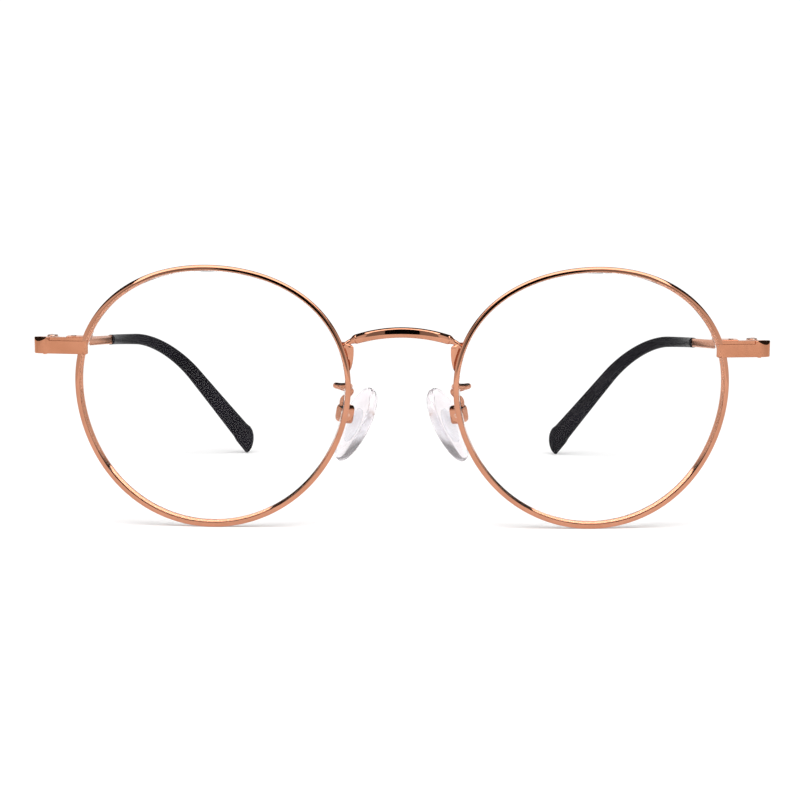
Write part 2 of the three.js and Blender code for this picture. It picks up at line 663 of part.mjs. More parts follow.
// The box is a cup that opens to the pad. Its back is rounded, and the screw runs through its sides.
function padBoxOutside(grown) {
  const [deep, wide, high] = [padBox.depth / 2 + grown, padBox.width / 2 + grown, padBox.height / 2 + grown];
  const ring = (x, share) => chamferedSection(0.35).map(([across, up]) => (
    vector(x, across * wide * share, up * high * share)
  ));
  return solid(skin([ring(-deep, 1), ring(deep - 0.5, 1), ring(deep - 0.15, 0.92), ring(deep, 0.75)]));
}

function makePadBox() {
  const [wide, high] = [padBox.width / 2 - padBox.wall, padBox.height / 2 - padBox.wall];
  const inner = padBox.depth / 2 - padBox.wall;
  const cavity = block(vector(-padBox.depth, -wide, -high), vector(inner, wide, high));
  const bore = roundBar(vector(0, -5, 0), vector(0, 5, 0), padScrew.radius + runningGap / 2, 16);
  return onBox(padBoxOutside(0).subtract(cavity).subtract(bore));
}

function makePadScrew() {
  const side = padBox.width / 2 + solderGap;
  const headEnd = vector(0, side + padScrew.headHeight, 0);
  return onBox(slottedScrew(headEnd, vector(0, -padBox.width / 2 - 0.1, 0), padScrew));
}

// The wire leaves the rim's back, loops out behind the lens and comes down into the top of the box.
function makePadWire() {
  const onRim = outlineAt(angleAtHeight(padWire.rimHeight, 'inner'), rim.wall / 2);
  const root = onLens(onRim, rimBack - rim.edge);
  const boxTop = vector(padBox.depth / 4, 0, padBox.height / 2 - 0.3).applyMatrix4(boxPlace);
  const boxUp = vector(0, 0, 1).transformDirection(boxPlace);
  const loopHeight = padWire.rimHeight - 0.2;
  const points = [
    root,
    vector(root.x - 0.1, root.y + 1.4, padWire.rimHeight),
    vector(root.x + padWire.loopReach * 0.6, root.y + 2.7, loopHeight),
    vector(root.x + padWire.loopReach, root.y + 4.1, loopHeight - 0.1),
    vector(root.x + padWire.loopReach * 0.6, root.y + 5.5, loopHeight - 0.6),
    vector(root.x - 0.3, root.y + 6.4, loopHeight - 1.5),
    boxTop.clone().addScaledVector(boxUp, 1.3),
    boxTop,
  ];
  const section = new THREE.Shape().absarc(0, 0, padWire.radius, 0, 2 * Math.PI);
  const geometry = new THREE.ExtrudeGeometry(section, {
    steps: 26, curveSegments: 4, extrudePath: new THREE.CatmullRomCurve3(points, false, 'centripetal'),
  });
  return solid(geometry).subtract(rimSpace).subtract(onBox(padBoxOutside(solderGap)));
}

// ---------------------------------------------------------------- the assembly

const sidePieces = [
  ['rim', makeRim, 'roseGold'],
  ['lens', makeLens, 'lens'],
  ['bridge_foot', makeBridgeFoot, 'roseGold'],
  ['end_piece', makeEndPiece, 'roseGold'],
  ['closing_block_upper', () => makeClosingHalf(splitHeight + rim.slit / 2, blockTop), 'roseGold'],
  ['closing_block_lower', () => makeClosingHalf(blockBottom, splitHeight - rim.slit / 2), 'roseGold'],
  ['closing_screw', makeClosingScrew, 'screwSteel'],
  ['hinge_front_leaf', makeFrontLeaf, 'roseGold'],
  ['hinge_screw', makeHingeScrew, 'screwSteel'],
  ['hinge_temple_leaf', makeTempleLeaf, 'roseGold'],
  ['temple', makeTemple, 'roseGold'],
  ['temple_tip', makeTip, 'blackTip'],
  ['pad_wire', makePadWire, 'roseGold'],
  ['pad_box', makePadBox, 'roseGold'],
  ['pad_screw', makePadScrew, 'screwSteel'],
  ['pad_insert', makePadInsert, 'clearPlastic'],
  ['nose_pad', makePad, 'silicone'],
].map(([name, make, colour]) => ({ name, geometry: geometryOf(make()), colour }));

function named(name, geometry, colour) {
  const mesh = new THREE.Mesh(geometry, new THREE.MeshStandardMaterial(colours[colour]));
  mesh.name = name;
  return mesh;
}

const front = new THREE.Group();
front.add(named('bridge', geometryOf(makeBridge()), 'roseGold'));
for (const side of ['left', 'right']) {
  const half = new THREE.Group();
  half.scale.x = side === 'left' ? 1 : -1;
  for (const piece of sidePieces) half.add(named(`${piece.name}_${side}`, piece.geometry, piece.colour));
  front.add(half);
}

// Lean the front forwards until the rims and the tips stand on one level floor.
function lowest(name, lean) {
  const position = sidePieces.find((piece) => piece.name === name).geometry.attributes.position;
  let low = Infinity;
  for (let i = 0; i < position.count; i++) {
    low = Math.min(low, position.getY(i) * Math.sin(lean) + position.getZ(i) * Math.cos(lean));
  }
  return low;
}

function levelLean() {
  let [low, high] = [degrees(-20), degrees(30)];
  for (let i = 0; i < 40; i++) {
    const middle = (low + high) / 2;
    if (lowest('temple_tip', middle) < lowest('rim', middle)) low = middle;
    else high = middle;
  }
  return (low + high) / 2;
}

front.rotation.x = levelLean();
front.updateMatrixWorld(true);
const footprint = new THREE.Box3().setFromObject(front, true);
front.position.set(0, -(footprint.min.y + footprint.max.y) / 2, -footprint.min.z);

const eyeglasses = new THREE.Group();
eyeglasses.add(front);

export default eyeglasses;
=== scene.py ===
import json
import math
import bmesh
import bpy
from mathutils import Matrix, Vector


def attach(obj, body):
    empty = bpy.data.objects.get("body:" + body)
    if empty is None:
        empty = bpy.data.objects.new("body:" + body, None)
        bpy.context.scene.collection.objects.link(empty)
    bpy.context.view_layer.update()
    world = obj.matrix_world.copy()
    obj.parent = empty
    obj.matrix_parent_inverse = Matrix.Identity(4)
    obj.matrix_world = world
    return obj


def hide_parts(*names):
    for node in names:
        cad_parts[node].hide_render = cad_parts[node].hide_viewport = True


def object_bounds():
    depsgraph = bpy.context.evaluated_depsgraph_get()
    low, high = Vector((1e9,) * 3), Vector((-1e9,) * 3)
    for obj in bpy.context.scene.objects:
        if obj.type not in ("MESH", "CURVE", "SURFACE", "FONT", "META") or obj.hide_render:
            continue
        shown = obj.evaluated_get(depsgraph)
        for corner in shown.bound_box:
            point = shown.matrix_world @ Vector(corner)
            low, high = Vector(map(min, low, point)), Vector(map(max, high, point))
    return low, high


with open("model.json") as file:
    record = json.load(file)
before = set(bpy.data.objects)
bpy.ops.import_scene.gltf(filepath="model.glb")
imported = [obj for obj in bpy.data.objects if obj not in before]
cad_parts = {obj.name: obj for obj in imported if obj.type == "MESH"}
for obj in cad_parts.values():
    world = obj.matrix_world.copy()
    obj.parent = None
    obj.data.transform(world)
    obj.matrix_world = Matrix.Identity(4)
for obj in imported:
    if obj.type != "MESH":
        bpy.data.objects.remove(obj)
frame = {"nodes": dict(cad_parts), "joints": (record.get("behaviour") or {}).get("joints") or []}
cadLow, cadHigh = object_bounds()
bpy.ops.object.select_all(action='DESELECT')
print("frame loaded")

# Pieces are drawn in mm in the front's own frame: x across, y backwards, z up from the lens line.
# The temple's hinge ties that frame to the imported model.
mm = 0.001
leftFold = next(joint for joint in frame["joints"] if joint["name"] == "temple_left_fold")
hingePoint = Vector((67.63, 8.2, 8.819))
leanTurn = Matrix.Rotation(math.atan2(-leftFold["axis"][1], leftFold["axis"][2]), 4, 'X')
frontOrigin = Vector(leftFold["pos_m"]) - leanTurn @ (hingePoint * mm)
frontPlace = Matrix.Translation(frontOrigin) @ leanTurn @ Matrix.Scale(mm, 4)


studio = {
    # camera: target and distance in mm, angles in degrees
    "target": (-0.38, -64.0, 24.74), "distance": 400.0, "elevation": 4.9, "roll": 0.3,
    "lens": 94.7, "sensor": 36, "nearest": 0.01,
    # room: glow near the horizon and higher up, and the heights where one gives way to the other
    "backdrop": 1.08, "dimRoom": 0.03, "backdropTop": 0.3, "dimFrom": 0.42,
    # softbox, in watts and metres
    "softboxPower": 14.0, "softboxSize": (1.3, 1.0), "softboxAt": (0.0, -0.5, 0.67),
    "softboxTarget": (0.0, -0.06, 0.03),
    # cards before the object, in metres
    "flagWidth": 0.224, "cardWidth": 0.54, "cardHeight": 0.27, "cardFoot": 0.001,
    "flagAway": 0.40, "cardBehind": 0.02, "greyCard": 0.4,
    # floor
    "floorRadius": 0.26, "floorMiddle": -0.1, "floorColour": "#E9E8E8", "floorGlow": 0.25,
}


def aimed(thing, at, target):
    thing.location = at
    thing.rotation_euler = (Vector(target) - Vector(at)).to_track_quat('-Z', 'Y').to_euler()


def placeCamera():
    target = Vector(studio["target"]) * mm
    rise = math.radians(studio["elevation"])
    away = Vector((0, -math.cos(rise), math.sin(rise))) * studio["distance"] * mm
    camera = bpy.data.objects.new("camera", bpy.data.cameras.new("camera"))
    bpy.context.scene.collection.objects.link(camera)
    aimed(camera, target + away, target)
    camera.rotation_euler.rotate_axis('Z', math.radians(studio["roll"]))
    camera.data.lens = studio["lens"]
    camera.data.sensor_width = studio["sensor"]
    camera.data.clip_start = studio["nearest"]
    bpy.context.scene.camera = camera


def node(tree, kind, inputs=(), **settings):
    # adds a node, sets its properties, then fills or links its inputs
    made = tree.nodes.new(kind)
    for name, value in settings.items():
        setattr(made, name, value)
    for name, value in dict(inputs).items():
        if isinstance(value, bpy.types.NodeSocket):
            tree.links.new(value, made.inputs[name])
        else:
            made.inputs[name].default_value = value
    return made


def ramp(tree, factor, stops):
    made = node(tree, 'ShaderNodeValToRGB', {"Fac": factor})
    elements = made.color_ramp.elements
    while len(elements) < len(stops):
        elements.new(0.5)
    for element, (position, colour) in zip(elements, stops):
        element.position = position
        element.color = colour
    return made.outputs["Color"]


def linear(hexColour):
    # an sRGB hex colour as linear numbers
    channels = [int(hexColour[i:i + 2], 16) / 255 for i in (1, 3, 5)]
    return [c / 12.92 if c <= 0.04045 else ((c + 0.055) / 1.055) ** 2.4 for c in channels] + [1]


def grey(level):
    return (level, level, level, 1)


def makeRoom():
    # a white backdrop up to just over the horizon, and a dim room above it
    world = bpy.data.worlds.new("room")
    bpy.context.scene.world = world
    world.use_nodes = True
    tree = world.node_tree
    tree.nodes.clear()
    direction = node(tree, 'ShaderNodeTexCoord').outputs["Generated"]
    height = node(tree, 'ShaderNodeSeparateXYZ', {"Vector": direction}).outputs["Z"]
    backdrop, dim = grey(studio["backdrop"]), grey(studio["dimRoom"])
    light = ramp(tree, height, ((0.0, backdrop), (studio["backdropTop"], backdrop),
                                (studio["dimFrom"], dim), (1.0, dim)))
    background = node(tree, 'ShaderNodeBackground', {"Color": light})
    node(tree, 'ShaderNodeOutputWorld', {"Surface": background.outputs["Background"]})


def addCard(name, away, width, glow, corners):
    # an upright card by the camera that only reflections see: oval, or a rectangle of four corners
    reach = 1 / math.sqrt(2) if corners == 4 else 0.5
    upright = Matrix.Rotation(math.radians(90), 4, 'X') @ Matrix.Rotation(math.radians(45), 4, 'Z')
    bpy.ops.mesh.primitive_circle_add(vertices=corners, radius=reach, fill_type='NGON')
    card = bpy.context.object
    card.name = name
    card.data.transform(upright)
    card.location = (0, -away, studio["cardHeight"] / 2 + studio["cardFoot"])
    card.scale = (width, 1, studio["cardHeight"])
    material = bpy.data.materials.new(name)
    material.use_nodes = True
    tree = material.node_tree
    tree.nodes.clear()
    shader = node(tree, 'ShaderNodeEmission', {"Color": grey(glow), "Strength": 1.0})
    node(tree, 'ShaderNodeOutputMaterial', {"Surface": shader.outputs["Emission"]})
    card.data.materials.append(material)
    for ray in ("camera", "diffuse", "transmission", "volume_scatter", "shadow"):
        setattr(card, "visible_" + ray, False)


def addSoftbox(name, at, target, size, power):
    light = bpy.data.lights.new(name, 'AREA')
    light.shape = 'RECTANGLE'
    light.size, light.size_y = size
    light.energy = power
    softbox = bpy.data.objects.new(name, light)
    bpy.context.scene.collection.objects.link(softbox)
    aimed(softbox, at, target)
    softbox.visible_camera = False


def makeFloor():
    bpy.ops.mesh.primitive_circle_add(
        vertices=96, radius=studio["floorRadius"], fill_type='NGON',
        location=(0, studio["floorMiddle"], cadLow.z))
    floor = bpy.context.object
    floor.name = "floor"
    material = bpy.data.materials.new("white paper sweep, matt")
    material.use_nodes = True
    shader = material.node_tree.nodes["Principled BSDF"]
    shader.inputs["Base Color"].default_value = linear(studio["floorColour"])
    shader.inputs["Roughness"].default_value = 0.85
    shader.inputs["Specular IOR Level"].default_value = 0.2
    shader.inputs["Emission Color"].default_value = grey(1.0)
    shader.inputs["Emission Strength"].default_value = studio["floorGlow"]
    floor.data.materials.append(material)


placeCamera()
makeRoom()
makeFloor()
addCard("flag", studio["flagAway"], studio["flagWidth"], 0.0, 64)
addCard("greyCard", studio["flagAway"] + studio["cardBehind"], studio["cardWidth"],
        studio["greyCard"], 4)
addSoftbox("softbox", studio["softboxAt"], studio["softboxTarget"],
           studio["softboxSize"], studio["softboxPower"])
bpy.context.scene.view_settings.view_transform = 'Standard'
print("camera and stage ready")


def newMaterial(name):
    material = bpy.data.materials.new(name)
    material.use_nodes = True
    tree = material.node_tree
    return material, tree, tree.nodes["Principled BSDF"]


def noiseAt(tree, size, detail=2.0, stretch=(1, 1, 1), seed=0.0):
    # noise whose features are `size` mm across, read from the piece's own coordinates
    place = node(tree, 'ShaderNodeTexCoord').outputs["Object"]
    mapped = node(tree, 'ShaderNodeMapping', {
        "Vector": place, "Scale": stretch, "Location": (seed, seed * 0.7, -seed)})
    noise = node(tree, 'ShaderNodeTexNoise', {
        "Vector": mapped.outputs["Vector"], "Scale": 1 / (size * mm), "Detail": detail})
    return noise.outputs["Fac"]


def rangeOf(tree, value, low, high, fromLow=0.3, fromHigh=0.7):
    return node(tree, 'ShaderNodeMapRange', {
        "Value": value, "From Min": fromLow, "From Max": fromHigh,
        "To Min": low, "To Max": high}).outputs["Result"]


def bumped(tree, height, depth, strength):
    return node(tree, 'ShaderNodeBump', {
        "Height": height, "Distance": depth * mm, "Strength": strength}).outputs["Normal"]


# Rose gold, ion plated over nickel silver and polished: a clean mirror with a warm copper tint, a
# thin clear lacquer, faint wipe marks in its gloss and slight orange peel where wire was drawn.
def makeRoseGold(name, light, deep, roughness, brush=None):
    material, tree, shader = newMaterial(name)
    tone = rangeOf(tree, noiseAt(tree, 5.0), 0.0, 1.0)
    colour = ramp(tree, tone, ((0.0, linear(deep)), (1.0, linear(light))))
    wipes = noiseAt(tree, 1.2, detail=4.0, stretch=(1, 1, 0.35), seed=3.0)
    tree.links.new(colour, shader.inputs["Base Color"])
    tree.links.new(rangeOf(tree, wipes, *roughness), shader.inputs["Roughness"])
    grain = noiseAt(tree, 0.35, detail=3.0, stretch=brush or (1, 1, 1), seed=8.0)
    tree.links.new(bumped(tree, grain, 0.004, 0.25), shader.inputs["Normal"])
    shader.inputs["Metallic"].default_value = 1.0
    shader.inputs["Specular Tint"].default_value = linear("#FBDCCB")
    shader.inputs["Coat Weight"].default_value = 0.0 if brush else 0.5
    shader.inputs["Coat Roughness"].default_value = 0.06
    return material


# Screws of stainless steel under the same plating, paler where a driver has rubbed the slot.
def makeScrewMetal():
    material, tree, shader = newMaterial("plated stainless steel screw, turned")
    worn = rangeOf(tree, noiseAt(tree, 0.5, detail=4.0, seed=5.0), 0.0, 1.0, 0.4, 0.65)
    colour = ramp(tree, worn, ((0.0, linear("#C08A70")), (1.0, linear("#D8C2B4"))))
    tree.links.new(colour, shader.inputs["Base Color"])
    turning = noiseAt(tree, 0.12, detail=1.0, stretch=(1, 1, 4))
    tree.links.new(rangeOf(tree, worn, 0.16, 0.3), shader.inputs["Roughness"])
    tree.links.new(bumped(tree, turning, 0.006, 0.4), shader.inputs["Normal"])
    shader.inputs["Metallic"].default_value = 1.0
    return material


# Temple tips of cellulose acetate, moulded and tumbled: deep blue-black with a soft broad gloss,
# faint flow clouds in the colour and fine tumbling haze.
def makeAcetate():
    material, tree, shader = newMaterial("black cellulose acetate, tumbled")
    clouds = rangeOf(tree, noiseAt(tree, 9.0, detail=3.0, stretch=(1, 0.5, 1)), 0.0, 1.0)
    colour = ramp(tree, clouds, ((0.0, linear("#0B0A0E")), (1.0, linear("#16141A"))))
    tree.links.new(colour, shader.inputs["Base Color"])
    haze = noiseAt(tree, 1.6, detail=5.0, seed=2.0)
    tree.links.new(rangeOf(tree, haze, 0.26, 0.38), shader.inputs["Roughness"])
    tree.links.new(bumped(tree, noiseAt(tree, 0.9), 0.001, 0.05), shader.inputs["Normal"])
    shader.inputs["IOR"].default_value = 1.4
    shader.inputs["Specular IOR Level"].default_value = 0.04
    return material


# Clear mouldings: light passes through with less bend than the real plastics give it, which keeps
# their thin walls as pale as they look, and the roughness shows the haze of a moulded skin.
def makeClear(name, tint, ior, roughness, hazeSize, wave, clarity, gloss):
    material, tree, shader = newMaterial(name)
    mottle = rangeOf(tree, noiseAt(tree, hazeSize * 3, seed=1.0), 0.0, 1.0)
    colour = ramp(tree, mottle, ((0.0, linear(tint[0])), (1.0, linear(tint[1]))))
    tree.links.new(colour, shader.inputs["Base Color"])
    haze = noiseAt(tree, hazeSize, detail=3.0, seed=4.0)
    tree.links.new(rangeOf(tree, haze, *roughness), shader.inputs["Roughness"])
    tree.links.new(bumped(tree, haze, wave, 0.3), shader.inputs["Normal"])
    shader.inputs["Transmission Weight"].default_value = clarity
    shader.inputs["Coat Weight"].default_value = gloss
    shader.inputs["IOR"].default_value = ior
    return material


roseGold = makeRoseGold("rose gold plating, polished", "#C08467", "#B47A5D", (0.03, 0.08))
roseGoldSatin = makeRoseGold(
    "rose gold plating, satin", "#BB8063", "#B07659", (0.12, 0.2), brush=(0.12, 1, 1))
screwMetal = makeScrewMetal()
acetate = makeAcetate()
silicone = makeClear(
    "silicone rubber, clear moulded", ("#F9F3F7", "#FEFBFD"), ior=1.28, roughness=(0.08, 0.15),
    hazeSize=0.8, wave=0.01, clarity=0.88, gloss=0.2)
insertPlastic = makeClear(
    "polycarbonate, clear moulded", ("#F3F6FA", "#FAFCFE"), ior=1.04, roughness=(0.06, 0.12),
    hazeSize=0.5, wave=0.01, clarity=0.96, gloss=0.3)
lensPlastic = makeClear(
    "acrylic demonstration lens", ("#FBFCFC", "#FFFFFF"), ior=1.01, roughness=(0.0, 0.012),
    hazeSize=6.0, wave=0.002, clarity=1.0, gloss=0.15)
print("materials ready")


def deselectAll():
    if bpy.context.object and bpy.context.object.mode != 'OBJECT':
        bpy.ops.object.mode_set(mode='OBJECT')
    bpy.ops.object.select_all(action='DESELECT')


def choose(piece):
    deselectAll()
    piece.select_set(True)
    bpy.context.view_layer.objects.active = piece


def drawnPiece(name, rings):
    # a circle laid on the first ring, extruded from ring to ring, then capped at both ends
    deselectAll()
    count = len(rings[0])
    bpy.ops.mesh.primitive_circle_add(vertices=count, radius=1, location=(0, 0, 0))
    piece = bpy.context.object
    piece.name = piece.data.name = name
    order = piece.data.attributes.new("order", 'INT', 'POINT')
    order.data.foreach_set("value", range(count))
    for vertex, point in zip(piece.data.vertices, rings[0]):
        vertex.co = point
    bpy.ops.object.mode_set(mode='EDIT')
    bpy.ops.mesh.select_mode(type='VERT')
    bpy.ops.mesh.select_all(action='SELECT')
    for ring in rings[1:]:
        bpy.ops.mesh.extrude_region()
        mesh = bmesh.from_edit_mesh(piece.data)
        orderLayer = mesh.verts.layers.int["order"]
        for vertex in mesh.verts:
            if vertex.select:
                vertex.co = ring[vertex[orderLayer]]
        bmesh.update_edit_mesh(piece.data)
    bpy.ops.mesh.select_all(action='SELECT')
    bpy.ops.mesh.fill_holes(sides=0)
    bpy.ops.mesh.normals_make_consistent(inside=False)
    bpy.ops.object.mode_set(mode='OBJECT')
    piece.data.attributes.remove(piece.data.attributes["order"])
    return piece


def useModifier(piece, kind, **settings):
    choose(piece)
    modifier = piece.modifiers.new(kind.lower(), kind)
    for name, value in settings.items():
        setattr(modifier, name, value)
    bpy.ops.object.modifier_apply(modifier=modifier.name)


def softenEdges(piece, width, angle=35, segments=2):
    useModifier(piece, 'BEVEL', width=width, limit_method='ANGLE',
                angle_limit=math.radians(angle), segments=segments, use_clamp_overlap=True)


def smoothOver(piece, angle=30):
    choose(piece)
    bpy.ops.object.shade_smooth_by_angle(angle=math.radians(angle))


def squareOff(piece, angle=30):
    # smooth on the rounds, and flat across the flats
    smoothOver(piece, angle)
    useModifier(piece, 'WEIGHTED_NORMAL', mode='FACE_AREA', weight=80, keep_sharp=True)


def cutWith(piece, cutter):
    useModifier(piece, 'BOOLEAN', operation='DIFFERENCE', object=cutter, solver='EXACT')
    bpy.data.objects.remove(cutter)


def cubeAt(place, size):
    deselectAll()
    bpy.ops.mesh.primitive_cube_add(size=1)
    cube = bpy.context.object
    cube.data.transform(place @ Matrix.Diagonal((*size, 1)))
    return cube


def between(low, high, share):
    return low + (high - low) * share


def eased(share):
    share = min(1.0, max(0.0, share))
    return share * share * (3 - 2 * share)


def barSection(width, height, squareness, count):
    # an oval at 2, and closer to a rectangle as squareness rises
    points = []
    for i in range(count):
        turn = 2 * math.pi * (i + 0.5) / count
        across, up = math.cos(turn), math.sin(turn)
        points.append((math.copysign(abs(across) ** (2 / squareness), across) * width / 2,
                       math.copysign(abs(up) ** (2 / squareness), up) * height / 2))
    return points


def roundedSection(width, height, radius, perCorner):
    # a rectangle with round corners
    points = []
    for corner in range(4):
        for i in range(perCorner):
            turn = math.radians(90 * corner + 90 * i / (perCorner - 1))
            sideX = 1 if corner in (0, 3) else -1
            sideY = 1 if corner in (0, 1) else -1
            points.append((sideX * (width / 2 - radius) + radius * math.cos(turn),
                           sideY * (height / 2 - radius) + radius * math.sin(turn)))
    return points


def ringAt(at, along, section, lift=0.0):
    # the section's first number runs sideways, level, and its second upwards
    sideways = along.cross(Vector((0, 0, 1))).normalized()
    up = sideways.cross(along)
    return [at + sideways * across + up * (high + lift) for across, high in section]


def smoothPath(points, steps):
    # a centripetal curve through points, as (place, direction) pairs
    points = [Vector(p) for p in points]
    ends = [points[0] * 2 - points[1], *points, points[-1] * 2 - points[-2]]
    placed = []
    for k in range(1, len(ends) - 2):
        a, b, c, d = ends[k - 1:k + 3]
        last = k == len(ends) - 3
        for i in range(steps + (1 if last else 0)):
            t = i / steps
            placed.append(0.5 * (2 * b + (c - a) * t + (2 * a - 5 * b + 4 * c - d) * t ** 2
                                 + (3 * b - a - 3 * c + d) * t ** 3))
    count = len(placed)
    return [(p, (placed[min(i + 1, count - 1)] - placed[max(i - 1, 0)]).normalized())
            for i, p in enumerate(placed)]


def settle(piece, material, body, cadNode):
    piece.data.materials.clear()
    piece.data.materials.append(material)
    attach(piece, body)
    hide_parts(cadNode)


def bothSides(piece, material, body, cadNode):
    # the left piece and its mirrored copy, each put in its place in metres
    for side in ("left", "right"):
        mesh = piece.data.copy()
        if side == "right":
            mesh.transform(Matrix.Scale(-1, 4, (1, 0, 0)))
            mesh.flip_normals()
        mesh.transform(frontPlace)
        placed = bpy.data.objects.new(f"{piece.name}_{side}", mesh)
        bpy.context.scene.collection.objects.link(placed)
        sideBody = body if body == "front" else f"{body}_{side}"
        settle(placed, material, sideBody, f"{cadNode}_{side}")
    bpy.data.objects.remove(piece)


def fromCad(name, cadNode, edge, material, body):
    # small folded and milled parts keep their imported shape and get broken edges
    for side in ("left", "right"):
        mesh = frame["nodes"][f"{cadNode}_{side}"].data.copy()
        piece = bpy.data.objects.new(f"{name}_{side}", mesh)
        bpy.context.scene.collection.objects.link(piece)
        choose(piece)
        bpy.ops.object.mode_set(mode='EDIT')
        bpy.ops.mesh.select_all(action='SELECT')
        bpy.ops.mesh.remove_doubles(threshold=0.002 * mm)
        bpy.ops.mesh.dissolve_limited(angle_limit=math.radians(0.8))
        bpy.ops.object.mode_set(mode='OBJECT')
        softenEdges(piece, edge * mm, angle=42)
        squareOff(piece, 32)
        sideBody = body if body == "front" else f"{body}_{side}"
        settle(piece, material, sideBody, f"{cadNode}_{side}")


# the eye: outline and base curve shared by rim and lens
eye = {
    "width": 51.8, "height": 49.3, "bridgeWidth": 20.7, "curveRadius": 120.0,
    "faceForm": 4.0, "thickness": 2.0,
    "lobes": ((2, 0.0188, 83.4), (3, 0.0234, 34.5), (4, 0.0048, 45.0)),  # count, amount, degrees
}


def rawOutline(angle):
    radius = 1 + sum(amount * math.cos(lobes * (angle - math.radians(towards)))
                     for lobes, amount, towards in eye["lobes"])
    return Vector((radius * math.cos(angle), radius * math.sin(angle)))


rawPoints = [rawOutline(math.radians(half / 2)) for half in range(720)]
rawLow = Vector([min(p[k] for p in rawPoints) for k in (0, 1)])
rawHigh = Vector([max(p[k] for p in rawPoints) for k in (0, 1)])
rawSize = rawHigh - rawLow
outlineScale = (eye["width"] / rawSize.x, eye["height"] / rawSize.y)
midDepth = eye["thickness"] / 2
rimSag = eye["curveRadius"] - math.sqrt(eye["curveRadius"] ** 2 - (eye["width"] / 2) ** 2)
lensCentre = Vector(((eye["width"] + eye["bridgeWidth"]) / 2, -rimSag - midDepth, 0))
lensPlace = (Matrix.Translation(lensCentre)
             @ Matrix.Rotation(math.radians(eye["faceForm"]), 4, 'Z'))


def outlineAt(angle, outwards=0.0):
    # a point of the lens outline in mm, moved outwards square to it
    def boxed(a):
        p = rawOutline(a) - (rawLow + rawHigh) / 2
        return Vector((p.x * outlineScale[0], p.y * outlineScale[1]))
    along = (boxed(angle + 1e-4) - boxed(angle - 1e-4)).normalized()
    return boxed(angle) + Vector((along.y, -along.x)) * outwards


def onLens(flat, depth):
    # a point of the front curve, moved back square to it
    curve = eye["curveRadius"]
    drop = curve - math.sqrt(curve ** 2 - flat.length_squared)
    forwards = Vector((flat.x, drop - curve, flat.y)) / curve
    return lensPlace @ (Vector((flat.x, drop, flat.y)) - forwards * depth)


def angleAtHeight(height, side):
    # where the outline crosses a height, on the temple side or the nose side
    low, high = ((-math.pi / 2, math.pi / 2) if side == "outer"
                 else (1.5 * math.pi, math.pi / 2))
    for _ in range(50):
        middle = (low + high) / 2
        low, high = (middle, high) if outlineAt(middle).y < height else (low, middle)
    return (low + high) / 2


rim = {
    "lip": 0.4, "wall": 0.59, "depth": 1.9, "domeRadius": 1.5, "domeFrom": -8, "domeTo": 19,
    "innerCorner": 0.1, "groove": 0.5, "grooveRoot": 0.08, "splitHeight": 8.9, "split": 0.3,
    "stations": 216,
}


def rimSection():
    # the front is domed and leans outwards, and a V groove runs inside:
    # each point is (outside the outline, towards the front)
    low, high = math.radians(rim["domeFrom"]), math.radians(rim["domeTo"])
    dome, inner = rim["domeRadius"], rim["innerCorner"]
    spare = (rim["lip"] + rim["wall"] - dome * (math.sin(high) - math.sin(low))
             - inner * (1 + math.sin(low)))
    outer = spare / (1 - math.sin(high))
    points, at = [], Vector((-rim["lip"], 0))
    for radius, start, end in ((inner, -math.pi / 2, low), (dome, low, high),
                               (outer, high, math.pi / 2)):
        centre = at - Vector((math.sin(start), math.cos(start))) * radius
        steps = 7 if radius != inner else 4
        for i in range(1, steps + 1):
            turn = start + (end - start) * i / steps
            points.append(centre + Vector((math.sin(turn), math.cos(turn))) * radius)
        at = points[-1]
    lift = rim["depth"] / 2 - max(p.y for p in points)      # brings the front to half the depth
    front = [Vector((p.x, p.y + lift)) for p in points]
    back = [Vector((p.x, -p.y)) for p in reversed(front)]
    groove = [(-rim["lip"], -rim["groove"]), (0, -rim["grooveRoot"]),
              (0, rim["grooveRoot"]), (-rim["lip"], rim["groove"])]
    return [tuple(p) for p in front + back] + groove


def makeRims():
    section = rimSection()
    split = angleAtHeight(rim["splitHeight"], "outer")
    half = rim["split"] / eye["width"]
    rings = []
    for i in range(rim["stations"] + 1):
        angle = split + half + (2 * math.pi - 2 * half) * i / rim["stations"]
        rings.append([onLens(outlineAt(angle, a), midDepth - b) for a, b in section])
    piece = drawnPiece("rimWire", rings)
    smoothOver(piece, 40)
    bothSides(piece, roseGold, "front", "rim")


makeRims()
print("rims drawn")


lens = {
    "bevelHeight": 0.4, "bevelWidth": 0.8, "clearance": 0.1, "safety": 0.15, "stations": 144,
    "faceRings": [0.02, 0.1, 0.2, 0.3, 0.4, 0.5, 0.6, 0.7, 0.8, 0.87, 0.93],
}


def makeLenses():
    edge = -lens["bevelHeight"] - lens["clearance"]
    bevel = lens["bevelWidth"] / 2
    thick, safety = eye["thickness"], lens["safety"]
    # share of the way out, then mm outwards and mm behind the front face
    profile = [(share, 0, 0) for share in lens["faceRings"]]
    profile += [(1, edge - safety, 0), (1, edge, safety), (1, edge, midDepth - bevel),
                (1, -lens["clearance"], midDepth), (1, edge, midDepth + bevel),
                (1, edge, thick - safety), (1, edge - safety, thick)]
    profile += [(share, 0, thick) for share in reversed(lens["faceRings"])]
    rings = []
    for share, outwards, depth in profile:
        rings.append([
            onLens(outlineAt(2 * math.pi * i / lens["stations"], outwards) * share, depth)
            for i in range(lens["stations"])])
    piece = drawnPiece("demoLens", rings)
    smoothOver(piece, 25)
    bothSides(piece, lensPlastic, "front", "lens")


makeLenses()
print("lenses drawn")


